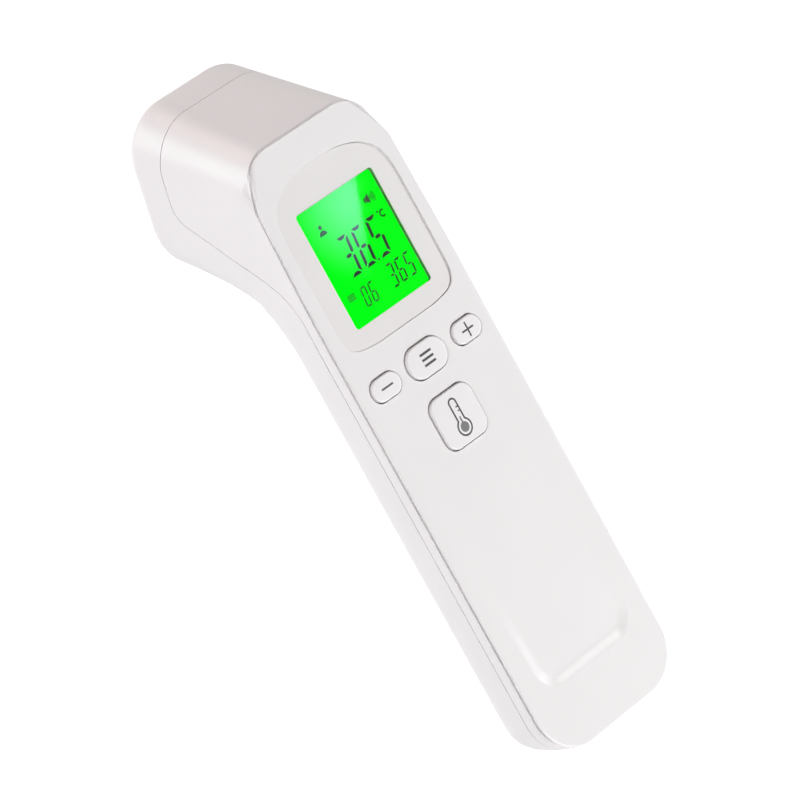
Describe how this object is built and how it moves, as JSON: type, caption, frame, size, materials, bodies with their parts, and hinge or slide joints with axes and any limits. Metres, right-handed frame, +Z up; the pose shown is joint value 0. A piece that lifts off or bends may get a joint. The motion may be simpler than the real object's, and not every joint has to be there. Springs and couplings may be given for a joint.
{
  "type": "digital thermometer",
  "caption": "Pistol-shaped infrared forehead thermometer with a lit display window, press keys, a thumb scoop, a recessed nose sensor and a slide-off battery door.",
  "frame": {"origin": "middle of the footprint, on the surface it lies on, resting on the nose and on the lower end of the handle", "axes": "+Y from the handle's lower end towards the nose, +Z up out of the display side, +X to the right of the display"},
  "size_m": [0.0426, 0.1684, 0.0468],
  "materials": {
    "white_plastic": "satin moulded",
    "key_plastic": "satin moulded",
    "window_clear": "clear, polished",
    "lcd_green": "backlit display glass",
    "light_plate": "frosted light guide",
    "contact_rubber": "layered contact rubber",
    "board_green": "solder mask",
    "chip_black": "moulded",
    "switch_steel": "plated",
    "switch_black": "moulded",
    "contact_steel": "nickel plated",
    "cell_wrap": "printed wrap over a can",
    "lead_red": "insulated wire",
    "lead_black": "insulated wire",
    "brass": "turned",
    "bezel_black": "moulded",
    "filter_dark": "polished",
    "ribbon": "film",
    "screw_steel": "plated"
  },
  "bodies": {
    "case": {"front_cover": "white_plastic", "middle_housing": "white_plastic", "rear_housing": "white_plastic", "window_lens": "window_clear", "minus_switch": "switch_steel", "mode_switch": "switch_steel", "plus_switch": "switch_steel", "measure_switch": "switch_steel", "lcd_glass": "lcd_green", "backlight": "light_plate", "lcd_frame": "white_plastic", "contact_strip": "contact_rubber", "main_board": "board_green", "microcontroller": "chip_black", "buzzer": "chip_black", "board_screw_1": "screw_steel", "board_screw_2": "screw_steel", "board_screw_3": "screw_steel", "board_screw_4": "screw_steel", "case_screw": "screw_steel", "left_cell": "cell_wrap", "right_cell": "cell_wrap", "bridge_plate": "contact_steel", "positive_plate": "contact_steel", "negative_plate": "contact_steel", "bridge_spring": "contact_steel", "negative_spring": "contact_steel", "positive_lead": "lead_red", "negative_lead": "lead_black", "sensor_bezel": "bezel_black", "sensor_sleeve": "brass", "sensor_holder": "white_plastic", "sensor_filter": "filter_dark", "thermopile_can": "switch_steel", "sensor_board": "board_green", "sensor_ribbon": "ribbon"},
    "minus_key": {"minus_button": "key_plastic", "minus_stem": "switch_black"},
    "mode_key": {"mode_button": "key_plastic", "mode_stem": "switch_black"},
    "plus_key": {"plus_button": "key_plastic", "plus_stem": "switch_black"},
    "measure_key": {"measure_button": "key_plastic", "measure_stem": "switch_black"},
    "door": {"battery_door": "white_plastic"}
  },
  "joints": [
    {"name": "minus_press", "type": "slide", "parent": "case", "child": "minus_key", "axis": [0, 0.187, -0.9824], "range_m": [0, 0.0006], "stiffness_N_per_m": 1500, "springref_m": -0.0003},
    {"name": "mode_press", "type": "slide", "parent": "case", "child": "mode_key", "axis": [0, 0.187, -0.9824], "range_m": [0, 0.0006], "stiffness_N_per_m": 1500, "springref_m": -0.0003},
    {"name": "plus_press", "type": "slide", "parent": "case", "child": "plus_key", "axis": [0, 0.187, -0.9824], "range_m": [0, 0.0006], "stiffness_N_per_m": 1500, "springref_m": -0.0003},
    {"name": "measure_press", "type": "slide", "parent": "case", "child": "measure_key", "axis": [0, 0.187, -0.9824], "range_m": [0, 0.0006], "stiffness_N_per_m": 1500, "springref_m": -0.0003},
    {"name": "door_slide", "type": "slide", "parent": "case", "child": "door", "axis": [0, -0.9824, -0.187], "range_m": [0, 0.055]}
  ]
}
